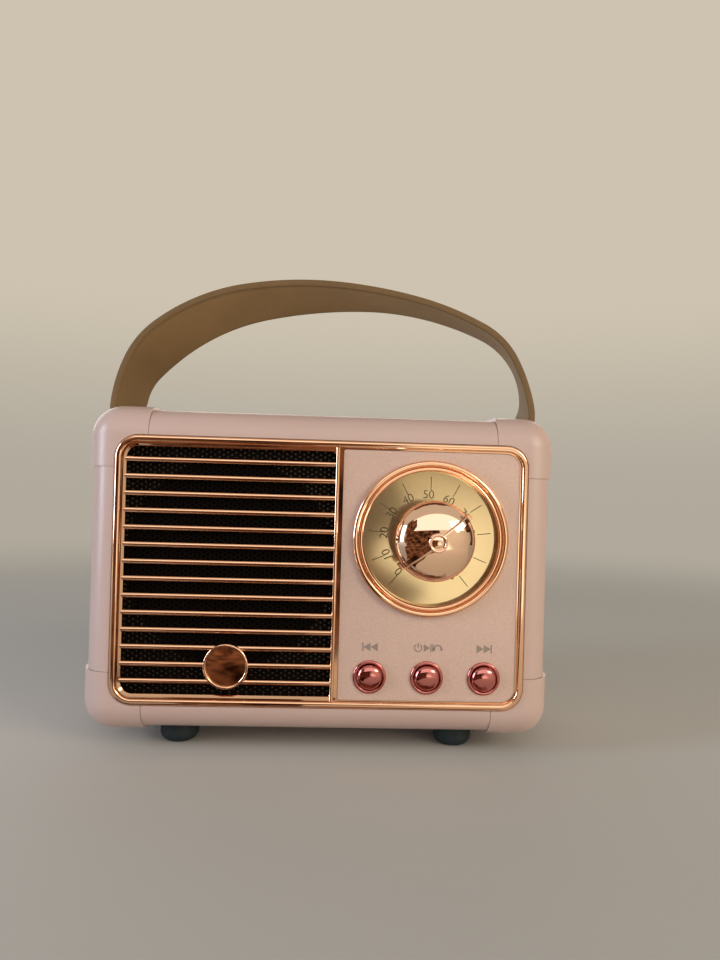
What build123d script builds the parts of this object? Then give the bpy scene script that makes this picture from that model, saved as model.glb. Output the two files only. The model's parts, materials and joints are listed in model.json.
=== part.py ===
from build123d import *
from math import cos, radians, sin, sqrt
import os

# A small tabletop radio with a plated grille, a dial, three buttons and a strap handle, in millimetres.
# X runs to the right, Y to the back and Z up, and the radio stands on its feet at Z = 0.
# Depths count backwards from the cabinet's front face. Levels count up from the cabinet's middle.

# Cabinet
body_width = 104.5
body_height = 71.8
body_depth = 50.0
body_corner = 6.2
body_edge = 5.8
wall = 2.0
front_wall = 2.0
pocket_depth = 2.4
cover_depth = 8.0
fit_gap = 0.1
seat_gap = 0.05

# Corner guards
guard_proud = 0.8
guard_seat = 0.5
guard_leg = 13.9

# Plated frame, bars and badge
frame_width = 92.5
frame_height = 59.9
frame_corner = 5.1
frame_rise = 0.5
bead_width = 1.5
bead_round = 0.6
groove_width = 0.2
groove_floor = 0.4
rim_width = 0.95
rim_rise = 0.1
rim_flat = 0.25
divider_x = 3.45
divider_width = 1.7
divider_rise = 0.3
divider_bead = 0.9
divider_round = 0.4
divider_groove = 0.5
divider_groove_depth = 0.8
window_corner = 0.5
bar_count = 14
bar_pitch = 3.785
bar_width = 1.25
bar_crest = 0.1
badge_inset = 6.5
badge_radius = 5.05
badge_rise = 0.5
badge_rim = 0.65
badge_round = 0.3
badge_floor = 0.5
badge_dome = 0.3
mesh_thickness = 0.5
mesh_lap = 0.8

# Control panel
panel_lip = 0.3
panel_front = 0.3

# Dial: plate, double ring, knob and pointer
dial_inset = 19.65
plate_thickness = 0.8
plate_radius = 15.75
bezel_radius = 17.6
bezel_bore = 15.2
bezel_rise = 1.5
inner_bead = 1.0
inner_bead_rise = 0.6
knob_radius = 8.8
knob_lift = 0.6
skirt_height = 7.3
skirt_wall = 1.3
dome_rise = 4.7
hub_radius = 2.05
hub_rise = 1.0
hub_ring = 0.6
hub_groove = 0.2
hub_dome = 0.3
pointer_width = 1.5
pointer_height = 0.7
pointer_round = 0.5
pointer_reach = 1.6
pointer_angle = 38.0
shaft_radius = 3.0
shaft_grip = 6.0
bushing_wall = 0.4
bushing_reach = 2.2
running_gap = 0.05
nut_across = 9.0
nut_thickness = 1.4
control_radius = 8.0
control_depth = 6.0

# Buttons and switches
button_inset = 5.35
button_pitch = 12.9
button_radius = 2.8
button_rise = 1.7
button_dome = 1.2
button_flange = 0.9
button_flange_depth = 0.8
button_gap = 0.15
button_travel = 0.4
stem_radius = 1.5
ring_wall = 0.4
ring_flange = 0.4
ring_rise = 0.5
ring_round = 0.35
switch_size = 6.0
switch_depth = 3.4
plunger_radius = 1.7
plunger_reach = 0.7
plunger_depth = 1.1

# Boards and screws
board_thickness = 1.6
board_margin = 0.6
control_post_gap = 3.5
board_hole_inset = 2.0
board_post_radius = 1.8
screw_radius = 0.75
screw_head_radius = 1.6
screw_head_depth = 1.0
screw_bite = 4.0
screw_tip_gap = 0.6
cross_width = 0.5
cross_margin = 0.7
cross_depth = 0.6

# Loudspeaker
speaker_level = 2.0
speaker_opening = 23.5
gasket_thickness = 0.6
basket_radius = 26.0
basket_flange = 1.2
basket_bore = 22.4
basket_neck = 15.5
basket_sheet = 1.0
shelf_depth = 7.0
shelf_bore = 12.6
basket_length = 11.2
basket_window_count = 6
basket_window_width = 7.0
surround_lip = 0.9
surround_sheet = 0.4
roll_radius = 1.2
cone_radius = 20.0
cone_sheet = 0.5
cone_depth = 5.0
cap_radius = 8.4
cap_rise = 2.6
coil_radius = 7.1
coil_wall = 0.5
coil_length = 9.0
pole_radius = 6.4
gap_radius = 8.2
plate_outer = 14.0
plate_depth = 2.0
magnet_outer = 16.0
magnet_bore = 9.4
magnet_depth = 7.0
yoke_plate = 2.5
spider_sheet = 0.4
speaker_boss_radius = 1.6
speaker_boss_gap = 0.3
washer_head_radius = 2.9

# Rear cover, sockets and battery
post_radius = 3.0
post_inset_x = 5.45
post_inset_z = 4.4
rib_thickness = 1.4
cover_screw_radius = 1.1
cover_head_radius = 2.1
cover_head_depth = 1.4
cover_screw_length = 11.0
counterbore_depth = 3.6
tongue_wall = 1.0
tongue_length = 2.0
main_board_width = 38.0
main_board_height = 26.0
main_board_inset = 8.25
main_board_level = -10.0
main_board_standoff = 6.0
port_recess = 0.6
port_field_width = 41.0
port_field_height = 9.0
port_field_corner = 2.0
jack_offset = -13.5
jack_radius = 3.0
jack_bore = 1.8
jack_block = 7.0
jack_block_depth = 4.0
light_offset = -7.4
light_radius = 1.0
usb_offset = 0.4
usb_width = 9.0
usb_height = 3.2
usb_shell = 0.3
usb_tongue_width = 6.7
usb_tongue_height = 0.7
usb_tongue_setback = 0.8
socket_floor = 1.5
card_offset = 12.0
card_width = 13.0
card_height = 2.6
card_mouth_width = 11.4
card_mouth_height = 1.2
battery_gap = 3.5
battery_height = 34.0
battery_depth = 8.0
battery_corner = 1.5
battery_inset = 8.75
battery_level = 5.0
pad_thickness = 1.0
pad_margin = 3.0

# Feet
foot_radius = 4.5
foot_height = 5.3
foot_round = 2.2
foot_gap = 2.15
foot_front = 12.0
foot_rear = 36.5
spigot_radius = 2.0
spigot_length = 1.2

# Strap handle
strap_thickness = 1.6
strap_front = 12.0
strap_width = 18.0
strap_recess = 0.7
slot_gap = 0.25
mouth_gap = 0.6
strap_tail = 21.4
strap_exit = 2.4
clamp_drop = 16.9
clamp_height = 7.0
clamp_thickness = 1.6
clamp_post_radius = 2.2
clamp_post_gap = 0.8
clamp_margin = 2.8

# Places worked out from the sizes above
centre_z = foot_height + body_height / 2
plate_front = pocket_depth - plate_thickness
knob_base = plate_front - knob_lift
shoulder = knob_base - skirt_height
dome_top = shoulder - dome_rise
hub_top = dome_top - hub_rise
front_y = -(body_depth + hub_top) / 2
inside = pocket_depth + front_wall
parting = body_depth - cover_depth
cover_inside = body_depth - wall
frame_inset = bead_width + rim_width
grille_left = -frame_width / 2 + frame_inset
grille_right = divider_x - divider_width / 2
grille_width = grille_right - grille_left
grille_height = frame_height - 2 * frame_inset
grille_x = (grille_left + grille_right) / 2
grille_corner = frame_corner - frame_inset
panel_inset = bead_width + panel_lip
panel_left = divider_x + divider_width / 2
panel_right = frame_width / 2 - panel_inset
panel_width = panel_right - panel_left
panel_height = frame_height - 2 * panel_inset
panel_x = (panel_left + panel_right) / 2
panel_corner = frame_corner - panel_inset
badge_level = badge_inset - grille_height / 2
dial_level = panel_height / 2 - dial_inset
button_level = button_inset - panel_height / 2
bar_back = pocket_depth - mesh_thickness
board_front = inside + control_depth
strap_outer_x = body_width / 2 - wall + strap_recess - slot_gap
strap_tail_level = body_height / 2 - strap_tail
strap_exit_level = body_height / 2 - strap_exit
clamp_level = body_height / 2 - clamp_drop
strap_inner_x = strap_outer_x - strap_thickness
strap_rear = strap_front + strap_width
main_board_x = body_width / 2 - main_board_inset - main_board_width / 2
jack_x = main_board_x + jack_offset
light_x = main_board_x + light_offset
usb_x = main_board_x + usb_offset
card_x = main_board_x + card_offset
battery_left = battery_inset - body_width / 2
battery_right = main_board_x - main_board_width / 2 - battery_gap
battery_width = battery_right - battery_left
battery_x = (battery_left + battery_right) / 2
foot_x = body_width / 2 + guard_proud - guard_leg - foot_gap - foot_radius
parts = {}


def facing(depth, x=0.0, level=0.0):
    """Plane parallel to the front: local x to the right, local y up, normal towards the viewer."""
    return Plane(origin=(x, front_y + depth, centre_z + level), x_dir=(1, 0, 0), z_dir=(0, -1, 0))


def slab(outline, near, far, x=0.0, level=0.0):
    """A flat outline carried from one depth to another."""
    return extrude(facing(far, x, level) * outline, amount=far - near)


def disc(radius, near, far, x=0.0, level=0.0):
    """A round piece with its axis along the depth."""
    return slab(Circle(radius), near, far, x, level)


def turned(profile, x=0.0, level=0.0):
    """A profile of radius and depth spun about an axis along the depth."""
    spot = Plane(origin=(x, front_y, centre_z + level), x_dir=(1, 0, 0), z_dir=(0, 0, 1))
    return revolve(spot * profile, axis=Axis(spot.origin, (0, 1, 0)))


def outline_of(*points):
    """A closed straight-sided face through the points."""
    return make_face(Polyline(*points, close=True))


def window(width, height, left_corner, right_corner):
    """A rectangle whose left and right corners have their own radius."""
    shape = Rectangle(width, height)
    shape = fillet(shape.vertices().group_by(Axis.X)[0], left_corner)
    return fillet(shape.vertices().group_by(Axis.X)[-1], right_corner)


def rounded_box(grow, near, far, edge):
    """The cabinet's outline, larger or smaller by grow, with its front edges rounded."""
    shape = RectangleRounded(body_width + 2 * grow, body_height + 2 * grow, body_corner + grow)
    box = slab(shape, near, far)
    return fillet(box.edges().group_by(Axis.Y)[0], edge)


def rounded_cap(grow, near, far, edge):
    """The same outline with its rear edges rounded."""
    shape = RectangleRounded(body_width + 2 * grow, body_height + 2 * grow, body_corner + grow)
    box = slab(shape, near, far)
    return fillet(box.edges().group_by(Axis.Y)[-1], edge)


def screw(shank, length, head, head_depth, seat, x, level, forward=1):
    """A cross-head screw along the depth; its head stands behind the seat, or before it if forward is -1."""
    tip = seat - forward * length
    top = seat + forward * head_depth
    floor = top - forward * cross_depth
    arm = 2 * (head - cross_margin)
    cross = Rectangle(arm, cross_width) + Rectangle(cross_width, arm)
    body = disc(shank, min(seat, tip), max(seat, tip), x, level)
    body += disc(head, min(seat, top), max(seat, top), x, level)
    return body - slab(cross, min(floor, top), max(floor, top), x, level)


def grid(x, level, spread_x, spread_z):
    """The four corners of a rectangle."""
    return [(x + sx * spread_x, level + sz * spread_z) for sx in (-1, 1) for sz in (-1, 1)]


# Corner places, cut from the cabinet for the guards
half_wide = body_width / 2 + guard_proud
half_tall = body_height / 2 + guard_proud
corner_names = {(-1, 1): "top_left", (1, 1): "top_right", (-1, -1): "bottom_left", (1, -1): "bottom_right"}


def corner_block(side, up, grow, near, far):
    """The block at one corner that the guard takes up."""
    leg = guard_leg + grow
    square = Rectangle(leg, leg)
    return slab(square, near, far, side * (half_wide - leg / 2), up * (half_tall - leg / 2))


# Pocket in the front that takes the plated frame
pocket_shape = RectangleRounded(frame_width + 2 * fit_gap, frame_height + 2 * fit_gap, frame_corner + fit_gap)
pocket = slab(pocket_shape, -frame_rise, pocket_depth)

# Slots at the top that the strap passes through
def strap_slots(gap):
    """The room for the strap's two legs, from their ends to above the cabinet."""
    shape = Rectangle(strap_thickness + 2 * gap, strap_width + 2 * gap)
    base = strap_tail_level - gap
    height = half_tall + guard_proud - base
    middle = front_y + strap_front + strap_width / 2
    leg_x = (strap_outer_x + strap_inner_x) / 2
    return [extrude(Pos(side * leg_x, middle, centre_z + base) * shape, amount=height) for side in (-1, 1)]


# Housing: a rounded shell with a front wall, open at the back
housing = rounded_box(0, 0, parting, body_edge)
cavity_shape = RectangleRounded(body_width - 2 * wall, body_height - 2 * wall, body_corner - wall)
housing -= slab(cavity_shape, inside, parting)
housing -= pocket
seat_core = rounded_box(-guard_seat - seat_gap, guard_seat + seat_gap, parting, body_edge - guard_seat)
for side, up in corner_names:
    housing -= corner_block(side, up, fit_gap, -guard_proud, parting) - seat_core
housing -= strap_slots(slot_gap)

# Posts in the housing's corners that take the rear cover's screws, each on a rib to the wall
post_x = body_width / 2 - post_inset_x - wall
post_level = body_height / 2 - post_inset_z - wall
cover_posts = grid(0, 0, post_x, post_level)
for x, level in cover_posts:
    up = 1 if level > 0 else -1
    rib_height = body_height / 2 - wall - abs(level)
    rib = Rectangle(rib_thickness, rib_height)
    housing += slab(rib, inside, parting - tongue_length - fit_gap, x, level + up * rib_height / 2)
    housing += disc(post_radius, inside, parting - tongue_length - fit_gap, x, level)

# Openings through the front wall
bushing_radius = shaft_radius + running_gap + bushing_wall
flange_radius = button_radius + button_flange
dial_x = panel_x
button_spots = {"prev": panel_x - button_pitch, "play": panel_x, "next": panel_x + button_pitch}
housing -= disc(speaker_opening, pocket_depth, inside, grille_x, speaker_level)
housing -= disc(bushing_radius + button_gap, pocket_depth, inside, dial_x, dial_level)
for x in button_spots.values():
    housing -= disc(flange_radius + 2 * button_gap, pocket_depth, inside, x, button_level)

# Posts for the control board and bosses for the speaker, with pilot holes
upper_post_level = dial_level + control_radius + control_post_gap
post_levels = (button_level, upper_post_level)
board_posts = [(panel_x + side * button_pitch / 2, level) for side in (-1, 1) for level in post_levels]
pilot_radius = screw_radius + running_gap
for x, level in board_posts:
    housing += disc(board_post_radius, inside, board_front, x, level)
    housing -= disc(pilot_radius, board_front - screw_bite - screw_tip_gap, board_front, x, level)
flange_back = inside + gasket_thickness + basket_flange
boss_spread = (basket_radius + speaker_boss_gap + speaker_boss_radius) * cos(radians(45))
speaker_bosses = grid(grille_x, speaker_level, boss_spread, boss_spread)
for x, level in speaker_bosses:
    housing += disc(speaker_boss_radius, inside, flange_back, x, level)
    housing -= disc(pilot_radius, inside - front_wall / 2, flange_back, x, level)

# Cover screws bite into the posts
post_end = parting - tongue_length - fit_gap
cover_bore_radius = cover_screw_radius + running_gap
head_seat = body_depth - counterbore_depth
for x, level in cover_posts:
    tip = head_seat - cover_screw_length
    housing -= disc(cover_bore_radius, tip - screw_tip_gap, post_end, x, level)

# Bosses on the side walls that the strap clamps are screwed to
clamp_reach = clamp_post_gap + clamp_post_radius
clamp_bosses = [strap_front - clamp_reach, strap_rear + clamp_reach]
clamp_screw_tip = body_width / 2 - wall / 2


def sideways(side, depth, level, radius, near_x, far_x):
    """A round piece with its axis along X, on the left or the right."""
    spot = Plane(origin=(side * near_x, front_y + depth, centre_z + level), z_dir=(side, 0, 0))
    return extrude(spot * Circle(radius), amount=far_x - near_x)


for side in (-1, 1):
    for depth in clamp_bosses:
        housing += sideways(side, depth, clamp_level, clamp_post_radius, strap_inner_x, body_width / 2 - wall)
        housing -= sideways(side, depth, clamp_level, pilot_radius, strap_inner_x, clamp_screw_tip)

# Sockets under the housing for the spigots of the feet
foot_spots = {}
for end, depth in (("front", foot_front), ("rear", foot_rear)):
    for name, x in (("left", -foot_x), ("right", foot_x)):
        foot_spots[f"foot_{end}_{name}"] = Pos(x, front_y + depth, foot_height)
for place in foot_spots.values():
    socket = Cylinder(spigot_radius + seat_gap, spigot_length, align=(Align.CENTER, Align.CENTER, Align.MIN))
    housing -= place * socket
parts["housing"] = housing

# Corner guards: shells that wrap the corners, flush with the front and proud of the sides
guard_outer = rounded_box(guard_proud, 0, parting, body_edge + guard_proud)
guard_inner = rounded_box(-guard_seat, guard_seat, parting, body_edge - guard_seat)
guard_shell = guard_outer - guard_inner - pocket
for (side, up), name in corner_names.items():
    guard = guard_shell & corner_block(side, up, 0, -guard_proud, parting)
    if up > 0:
        guard -= strap_slots(mouth_gap)
    parts[f"guard_{name}"] = guard

# Plated frame: half-round bead, sloped rim round the grille, grooved divider, bars and badge ring
frame_shape = RectangleRounded(frame_width, frame_height, frame_corner)
bead_bore_corner = frame_corner - bead_width
bead_bore = RectangleRounded(frame_width - 2 * bead_width, frame_height - 2 * bead_width, bead_bore_corner)
grille_window = window(grille_width, grille_height, grille_corner, window_corner)
panel_window = window(panel_width, panel_height, window_corner, panel_corner)
frame = slab(frame_shape, groove_floor, pocket_depth)
frame -= slab(grille_window, groove_floor, pocket_depth, grille_x)
frame -= slab(panel_window, groove_floor, pocket_depth, panel_x)
bead = slab(frame_shape - bead_bore, -frame_rise, groove_floor)
bead = fillet(bead.edges().group_by(Axis.Y)[0], bead_round)
rim_reach = rim_width - groove_width
rim_shape = window(
    grille_width + 2 * rim_reach, grille_height + 2 * rim_reach, grille_corner + rim_reach, window_corner
)
rim = slab(rim_shape, -rim_rise, groove_floor, grille_x)
rim -= slab(grille_window, -rim_rise, groove_floor, grille_x)
slope_reach = rim_reach - rim_flat
slope_corner = grille_corner + slope_reach
slope_shape = window(grille_width + 2 * slope_reach, grille_height + 2 * slope_reach, slope_corner, window_corner)
slope_ends = [facing(-rim_rise, grille_x) * slope_shape, facing(groove_floor, grille_x) * grille_window]
rim -= loft(slope_ends, ruled=True)
frame += [bead, rim]
divider_shape = Rectangle(divider_bead, frame_height - 2 * bead_width)
divider = slab(divider_shape, -divider_rise, pocket_depth, grille_right + divider_bead / 2)
divider_edges = divider.edges().group_by(Axis.Y)[0].filter_by(Axis.Z)
frame += fillet(divider_edges, divider_round)
groove_shape = Rectangle(divider_groove, panel_height)
groove_x = grille_right + divider_bead + divider_groove / 2
frame -= slab(groove_shape, groove_floor, groove_floor + divider_groove_depth, groove_x)
bar_start = grille_left - rim_reach
bar_plane = Plane(origin=(bar_start, front_y, centre_z), x_dir=(0, 1, 0), z_dir=(1, 0, 0))
bar_axis = bar_crest + bar_width / 2
bar_shape = Pos(bar_axis, 0) * Circle(bar_width / 2)
bar_shape += Pos((bar_axis + bar_back) / 2, 0) * Rectangle(bar_back - bar_axis, bar_width)
bar = extrude(bar_plane * bar_shape, amount=grille_right + divider_bead / 2 - bar_start)
bar_levels = [bar_pitch * (row - (bar_count - 1) / 2) for row in range(bar_count)]
frame += [Pos(0, 0, level) * bar for level in bar_levels]
badge_bore = badge_radius - badge_rim
badge_hole = disc(badge_bore, -badge_rise, badge_floor, grille_x, badge_level)
badge_ring = disc(badge_radius, -badge_rise, bar_back, grille_x, badge_level) - badge_hole
badge_ring = fillet(badge_ring.edges().group_by(Axis.Y)[0], badge_round)
frame -= badge_hole
frame += badge_ring
mesh_corner = grille_corner + mesh_lap
mesh_shape = window(grille_width + 2 * mesh_lap, grille_height + 2 * mesh_lap, mesh_corner, window_corner)
seat_lap = mesh_lap + fit_gap
mesh_seat = window(grille_width + 2 * seat_lap, grille_height + 2 * seat_lap, mesh_corner, window_corner)
frame -= slab(mesh_seat, bar_back, pocket_depth, grille_x)
parts["grille_frame"] = frame

# Perforated sheet behind the bars, and the bare disc in the badge ring
parts["speaker_mesh"] = slab(mesh_shape, bar_back, pocket_depth, grille_x)
badge_edge = badge_bore - fit_gap
badge_curve = (badge_edge**2 + badge_dome**2) / (2 * badge_dome)
badge_ball = facing(badge_curve - badge_dome, grille_x, badge_level) * (Rot(90, 0, 0) * Sphere(badge_curve))
parts["badge_disc"] = disc(badge_edge, -badge_dome, badge_floor, grille_x, badge_level) & badge_ball

# Satin control panel with the dial hole and the button holes
ring_bore = button_radius + button_gap
ring_sleeve = ring_bore + ring_wall
panel_edge = panel_corner - fit_gap
panel_shape = window(panel_width - 2 * fit_gap, panel_height - 2 * fit_gap, window_corner, panel_edge)
panel = slab(panel_shape, panel_front, pocket_depth, panel_x)
panel -= disc(plate_radius + fit_gap, panel_front, pocket_depth, dial_x, dial_level)
for x in button_spots.values():
    panel -= disc(ring_sleeve + fit_gap, panel_front, pocket_depth, x, button_level)
parts["control_panel"] = panel

# Dial plate, and the double ring that holds it down
plate = disc(plate_radius, plate_front, pocket_depth, dial_x, dial_level)
parts["dial_plate"] = plate - disc(bushing_radius + button_gap, plate_front, pocket_depth, dial_x, dial_level)
inner_base = panel_front - inner_bead_rise
inner_edge = bezel_bore + inner_bead
inner_mid = bezel_bore + inner_bead / 2
inner_crest = inner_base - inner_bead / 2
outer_mid = (inner_edge + bezel_radius) / 2
outer_crest = panel_front - bezel_rise
outer_base = outer_crest + (bezel_radius - inner_edge) / 2
bezel_profile = make_face(
    [
        Line((bezel_bore, plate_front), (bezel_bore, inner_base)),
        ThreePointArc((bezel_bore, inner_base), (inner_mid, inner_crest), (inner_edge, inner_base)),
        Line((inner_edge, inner_base), (inner_edge, outer_base)),
        ThreePointArc((inner_edge, outer_base), (outer_mid, outer_crest), (bezel_radius, outer_base)),
        Line((bezel_radius, outer_base), (bezel_radius, panel_front)),
        Line((bezel_radius, panel_front), (plate_radius, panel_front)),
        Line((plate_radius, panel_front), (plate_radius, plate_front)),
        Line((plate_radius, plate_front), (bezel_bore, plate_front)),
    ]
)
parts["dial_bezel"] = turned(bezel_profile, dial_x, dial_level)

# Rotary control behind the dial: round can with a threaded bushing, and the nut on the plate
bushing_end = plate_front - bushing_reach
shaft_bore = shaft_radius + running_gap
shaft_foot = inside + control_depth - control_depth / 3
control = disc(control_radius, inside, board_front, dial_x, dial_level)
control += disc(bushing_radius, bushing_end, inside, dial_x, dial_level)
parts["dial_control"] = control - disc(shaft_bore, bushing_end, shaft_foot + running_gap, dial_x, dial_level)
nut_shape = RegularPolygon(nut_across / 2, 6, major_radius=False) - Circle(bushing_radius + running_gap)
parts["dial_nut"] = slab(nut_shape, plate_front - nut_thickness, plate_front, dial_x, dial_level)

# Knob: a skirt under a smooth dome, hollow inside, with a hub that grips the shaft
def knob_outline(grow):
    """Half of the knob's section, grown outwards by an amount."""
    radius = knob_radius + grow
    dome = EllipticalCenterArc((0, shoulder), radius, dome_rise + grow, start_angle=270, arc_size=90)
    return make_face(
        [
            dome,
            Line((radius, shoulder), (radius, knob_base)),
            Line((radius, knob_base), (0, knob_base)),
            Line((0, knob_base), (0, dome_top - grow)),
        ]
    )


hub_start = bushing_end - knob_lift
shaft_end = hub_start - shaft_grip
knob = turned(knob_outline(0), dial_x, dial_level)
knob -= disc(knob_radius - skirt_wall, hub_start - shaft_grip / 2, knob_base, dial_x, dial_level)
knob += disc(shaft_bore + skirt_wall, hub_start - shaft_grip / 2, hub_start, dial_x, dial_level)
parts["dial_knob"] = knob - disc(shaft_bore, shaft_end - running_gap, hub_start, dial_x, dial_level)
parts["dial_shaft"] = disc(shaft_radius, shaft_end, shaft_foot, dial_x, dial_level)

# Pointer: a narrow round-topped rib that follows the dome on both sides, with a ringed hub at the middle
rib_band = knob_outline(pointer_height) - knob_outline(seat_gap / 2)
rib_end = shoulder + pointer_reach
rib_band -= Pos(0, (rib_end + knob_base) / 2) * Rectangle(4 * knob_radius, knob_base - rib_end)
hub_base = dome_top - pointer_height / 2
hub_bore = hub_radius - hub_ring
hub_middle = hub_radius - hub_ring / 2
hub_shoulder = hub_top + hub_ring / 2
hub_floor = hub_shoulder + hub_groove
hub_crown = ThreePointArc((-hub_bore, hub_floor), (0, hub_floor - hub_dome), (hub_bore, hub_floor))
hub_profile = make_face(
    [
        hub_crown.trim(0.5, 1),
        Line((hub_bore, hub_floor), (hub_bore, hub_shoulder)),
        ThreePointArc((hub_bore, hub_shoulder), (hub_middle, hub_top), (hub_radius, hub_shoulder)),
        Line((hub_radius, hub_shoulder), (hub_radius, hub_base)),
        Line((hub_radius, hub_base), (0, hub_base)),
        Line((0, hub_base), (0, hub_floor - hub_dome)),
    ]
)
pointer = turned(hub_profile, dial_x, dial_level)
for turn in (0, 180):
    along = radians(pointer_angle + turn)
    spot = Plane(
        origin=(dial_x, front_y, centre_z + dial_level),
        x_dir=(cos(along), 0, sin(along)),
        z_dir=(-sin(along), 0, cos(along)),
    )
    rib = extrude(spot * rib_band, amount=pointer_width / 2, both=True)
    rib = fillet(rib.edges().sort_by(SortBy.LENGTH)[-2:], pointer_round)
    pointer += rib - disc(hub_middle, hub_top, hub_base, dial_x, dial_level)
parts["dial_pointer"] = pointer

# Buttons: domed caps with a flange behind the panel and a stem that reaches the switch
switch_front = board_front - switch_depth
plunger_front = switch_front - plunger_reach
button_top = panel_front - button_rise
dome_base = button_top + button_dome
flange_end = pocket_depth + button_flange_depth
for name, x in button_spots.items():
    cap_arc = EllipticalCenterArc((0, dome_base), button_radius, button_dome, start_angle=270, arc_size=90)
    button_profile = make_face(
        [
            cap_arc,
            Polyline(
                (button_radius, dome_base),
                (button_radius, pocket_depth),
                (flange_radius, pocket_depth),
                (flange_radius, flange_end),
                (stem_radius, flange_end),
                (stem_radius, plunger_front),
                (0, plunger_front),
                (0, button_top),
            ),
        ]
    )
    parts[f"{name}_button"] = turned(button_profile, x, button_level)
    ring_profile = outline_of(
        (ring_bore, panel_front - ring_rise),
        (ring_sleeve + ring_flange, panel_front - ring_rise),
        (ring_sleeve + ring_flange, panel_front),
        (ring_sleeve, panel_front),
        (ring_sleeve, pocket_depth - button_gap),
        (ring_bore, pocket_depth - button_gap),
    )
    ring = turned(ring_profile, x, button_level)
    parts[f"{name}_ring"] = fillet(ring.edges().group_by(Axis.Y)[0], ring_round)
    plunger_end = switch_front + plunger_depth
    parts[f"{name}_plunger"] = disc(plunger_radius, plunger_front, plunger_end, x, button_level)
    switch = slab(Rectangle(switch_size, switch_size), switch_front, board_front, x, button_level)
    bore_end = plunger_end + button_travel + running_gap
    switch -= disc(plunger_radius + running_gap, switch_front, bore_end, x, button_level)
    parts[f"{name}_switch"] = switch

# Control board on its posts, and its screws
board_back = board_front + board_thickness
board_top = upper_post_level + board_post_radius + board_margin
board_bottom = button_level - switch_size / 2 - board_margin
control_board_level = (board_top + board_bottom) / 2
board_shape = Rectangle(2 * button_pitch + switch_size + 2 * board_margin, board_top - board_bottom)
control_board = slab(board_shape, board_front, board_back, panel_x, control_board_level)
for x, level in board_posts:
    control_board -= disc(pilot_radius, board_front, board_back, x, level)
parts["control_board"] = control_board
board_screw_length = screw_bite + board_thickness
parts["control_board_screws"] = Compound(
    [
        screw(screw_radius, board_screw_length, screw_head_radius, screw_head_depth, board_back, x, level)
        for x, level in board_posts
    ]
)

# Loudspeaker frame: gasket, pressed basket with windows, and the four screws that hold its rim
gasket_back = inside + gasket_thickness
shelf_front = gasket_back + shelf_depth
basket_back = gasket_back + basket_length
gasket_shape = Circle(basket_radius) - Circle(speaker_opening)
parts["speaker_gasket"] = slab(gasket_shape, inside, gasket_back, grille_x, speaker_level)
basket_profile = outline_of(
    (basket_bore, gasket_back),
    (basket_radius, gasket_back),
    (basket_radius, flange_back),
    (basket_bore + basket_sheet, flange_back),
    (basket_neck, shelf_front + basket_sheet),
    (basket_neck, basket_back),
    (gap_radius, basket_back),
    (gap_radius, basket_back - basket_sheet),
    (basket_neck - basket_sheet, basket_back - basket_sheet),
    (basket_neck - basket_sheet, shelf_front + basket_sheet),
    (shelf_bore, shelf_front + basket_sheet),
    (shelf_bore, shelf_front),
    (basket_neck, shelf_front),
    (basket_bore, flange_back),
)
basket = turned(basket_profile, grille_x, speaker_level)
for turn in range(basket_window_count):
    angle = 360 / basket_window_count * turn
    cutter_shape = Pos((basket_neck + basket_bore) / 2 + basket_sheet, 0) * Rectangle(
        basket_bore - basket_neck - basket_sheet, basket_window_width
    )
    cutter_shape = Rot(0, 0, angle) * cutter_shape
    basket -= slab(cutter_shape, flange_back + basket_sheet, shelf_front, grille_x, speaker_level)
parts["speaker_basket"] = basket
rim_screw_bite = flange_back - inside
parts["speaker_screws"] = Compound(
    [
        screw(screw_radius, rim_screw_bite, washer_head_radius, screw_head_depth, flange_back, x, level)
        for x, level in speaker_bosses
    ]
)

# Magnet system behind the basket: top plate, ring magnet, and yoke with its pole
plate_back = basket_back + plate_depth
magnet_back = plate_back + magnet_depth
plate_ring = Circle(plate_outer) - Circle(gap_radius)
magnet_ring = Circle(magnet_outer) - Circle(magnet_bore)
parts["speaker_top_plate"] = slab(plate_ring, basket_back, plate_back, grille_x, speaker_level)
parts["speaker_magnet"] = slab(magnet_ring, plate_back, magnet_back, grille_x, speaker_level)
yoke = disc(plate_outer, magnet_back, magnet_back + yoke_plate, grille_x, speaker_level)
parts["speaker_yoke"] = yoke + disc(pole_radius, basket_back, magnet_back, grille_x, speaker_level)

# Moving cone with its dust cap and voice coil
cone_front = gasket_back - surround_sheet
cone_back = cone_front + cone_depth
cone_profile = outline_of(
    (cone_radius, cone_front),
    (cone_radius, cone_front + cone_sheet),
    (coil_radius + coil_wall, cone_back + cone_sheet),
    (coil_radius + coil_wall, cone_back),
)
parts["speaker_cone"] = turned(cone_profile, grille_x, speaker_level)
coil_outer = coil_radius + coil_wall
cap_seat = cone_front + cone_depth * (cone_radius - cap_radius) / (cone_radius - coil_outer)
cap_bore = cap_radius - cone_sheet
cap_crest = cap_seat - cap_rise
cap_ceiling = cap_crest + cone_sheet
cap_outside = ThreePointArc((-cap_radius, cap_seat), (0, cap_crest), (cap_radius, cap_seat))
cap_inside = ThreePointArc((-cap_bore, cap_seat), (0, cap_ceiling), (cap_bore, cap_seat))
cap_profile = make_face(
    [
        cap_outside.trim(0.5, 1),
        Line((cap_radius, cap_seat), (cap_bore, cap_seat)),
        cap_inside.trim(0.5, 1),
        Line((0, cap_ceiling), (0, cap_crest)),
    ]
)
parts["dust_cap"] = turned(cap_profile, grille_x, speaker_level)
coil_ring = Circle(coil_outer) - Circle(coil_radius)
coil_front = cone_back - cone_sheet
parts["voice_coil"] = slab(coil_ring, coil_front, coil_front + coil_length, grille_x, speaker_level)

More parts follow.
